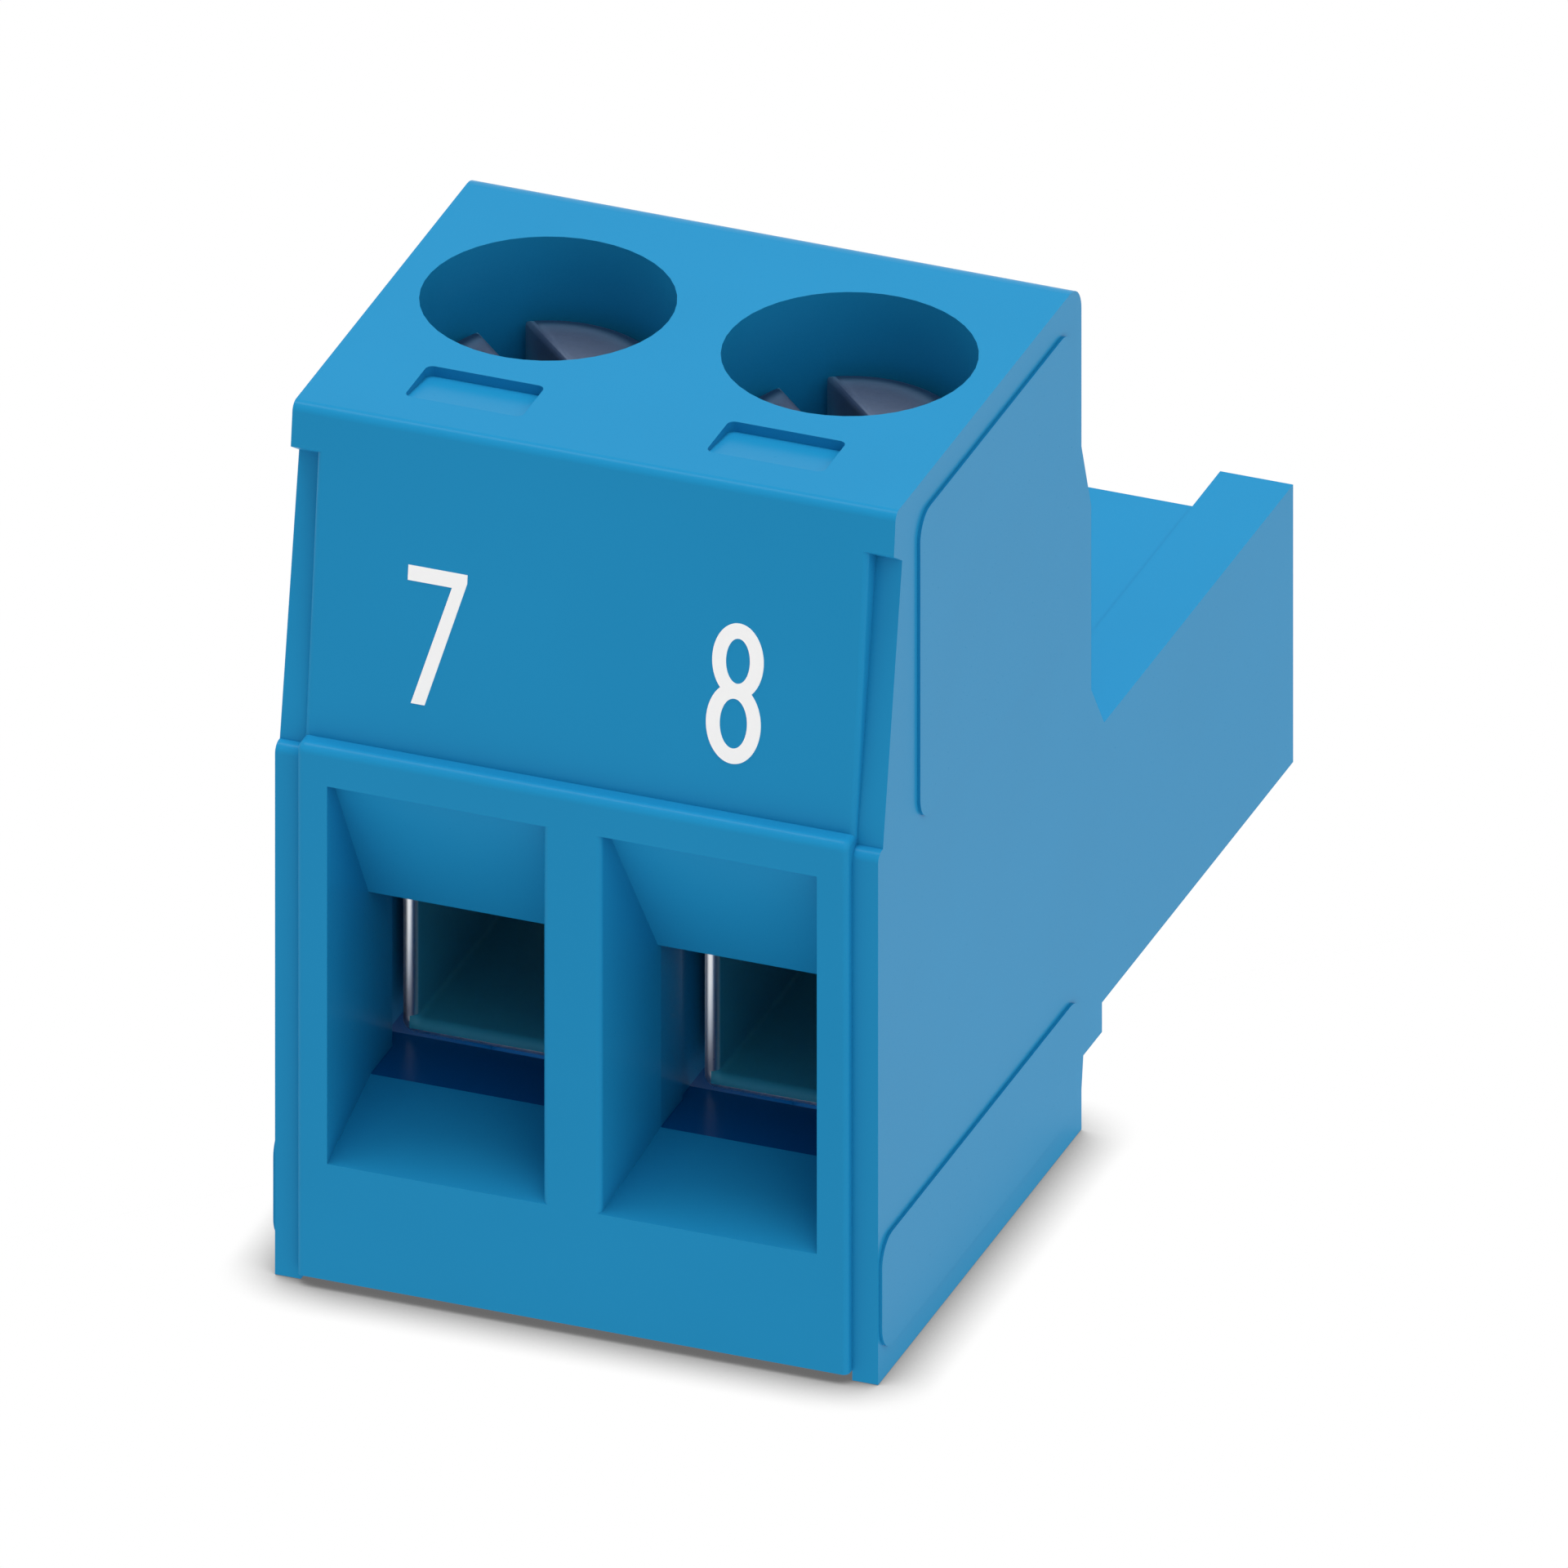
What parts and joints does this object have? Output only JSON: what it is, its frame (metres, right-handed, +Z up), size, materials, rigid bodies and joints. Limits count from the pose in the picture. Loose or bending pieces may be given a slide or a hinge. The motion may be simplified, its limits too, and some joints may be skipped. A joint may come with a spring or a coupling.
{
  "type": "pluggable terminal block",
  "caption": "Pluggable screw terminal block: box-shaped moulded body with funnel wire entries in front, sunk slotted screws on top and a plug nose behind.",
  "frame": {"origin": "bottom centre of the whole part, on the surface it stands on", "axes": "+X across the poles to the right seen from the wire side, +Y from the wire side to the plug nose, +Z up along the screws"},
  "size_m": [0.01, 0.0182, 0.015],
  "materials": {
    "blue_moulding": "fine matt moulded polyamide",
    "zinc_steel": "zinc plated, turned",
    "nickel_brass": "nickel plated, stamped and bent",
    "tinned_copper": "tin plated, stamped",
    "white_print": "white pad-printed pole numbers, made as their own pieces in the visual model"
  },
  "bodies": {
    "block": {"housing": "blue_moulding", "contact_left": "tinned_copper", "contact_right": "tinned_copper"},
    "left_screw": {"screw_left": "zinc_steel"},
    "right_screw": {"screw_right": "zinc_steel"},
    "left_cage": {"cage_left": "nickel_brass"},
    "right_cage": {"cage_right": "nickel_brass"}
  },
  "joints": [
    {"name": "left_screw_turn", "type": "hinge", "parent": "block", "child": "left_screw", "pos_m": [-0.0025, -0.00359, 0.0137], "axis": [0, 0, 1], "range_deg": [-2400, 0]},
    {"name": "right_screw_turn", "type": "hinge", "parent": "block", "child": "right_screw", "pos_m": [0.0025, -0.00359, 0.0137], "axis": [0, 0, 1], "range_deg": [-2400, 0]},
    {"name": "left_cage_lift", "type": "slide", "parent": "block", "child": "left_cage", "axis": [0, 0, 1], "range_m": [0, 0.003]},
    {"name": "right_cage_lift", "type": "slide", "parent": "block", "child": "right_cage", "axis": [0, 0, 1], "range_m": [0, 0.003]}
  ],
  "couplings": [
    {"joint": "left_screw_turn", "follows": "left_cage_lift", "rad_per_m": -13963},
    {"joint": "right_screw_turn", "follows": "right_cage_lift", "rad_per_m": -13963}
  ]
}
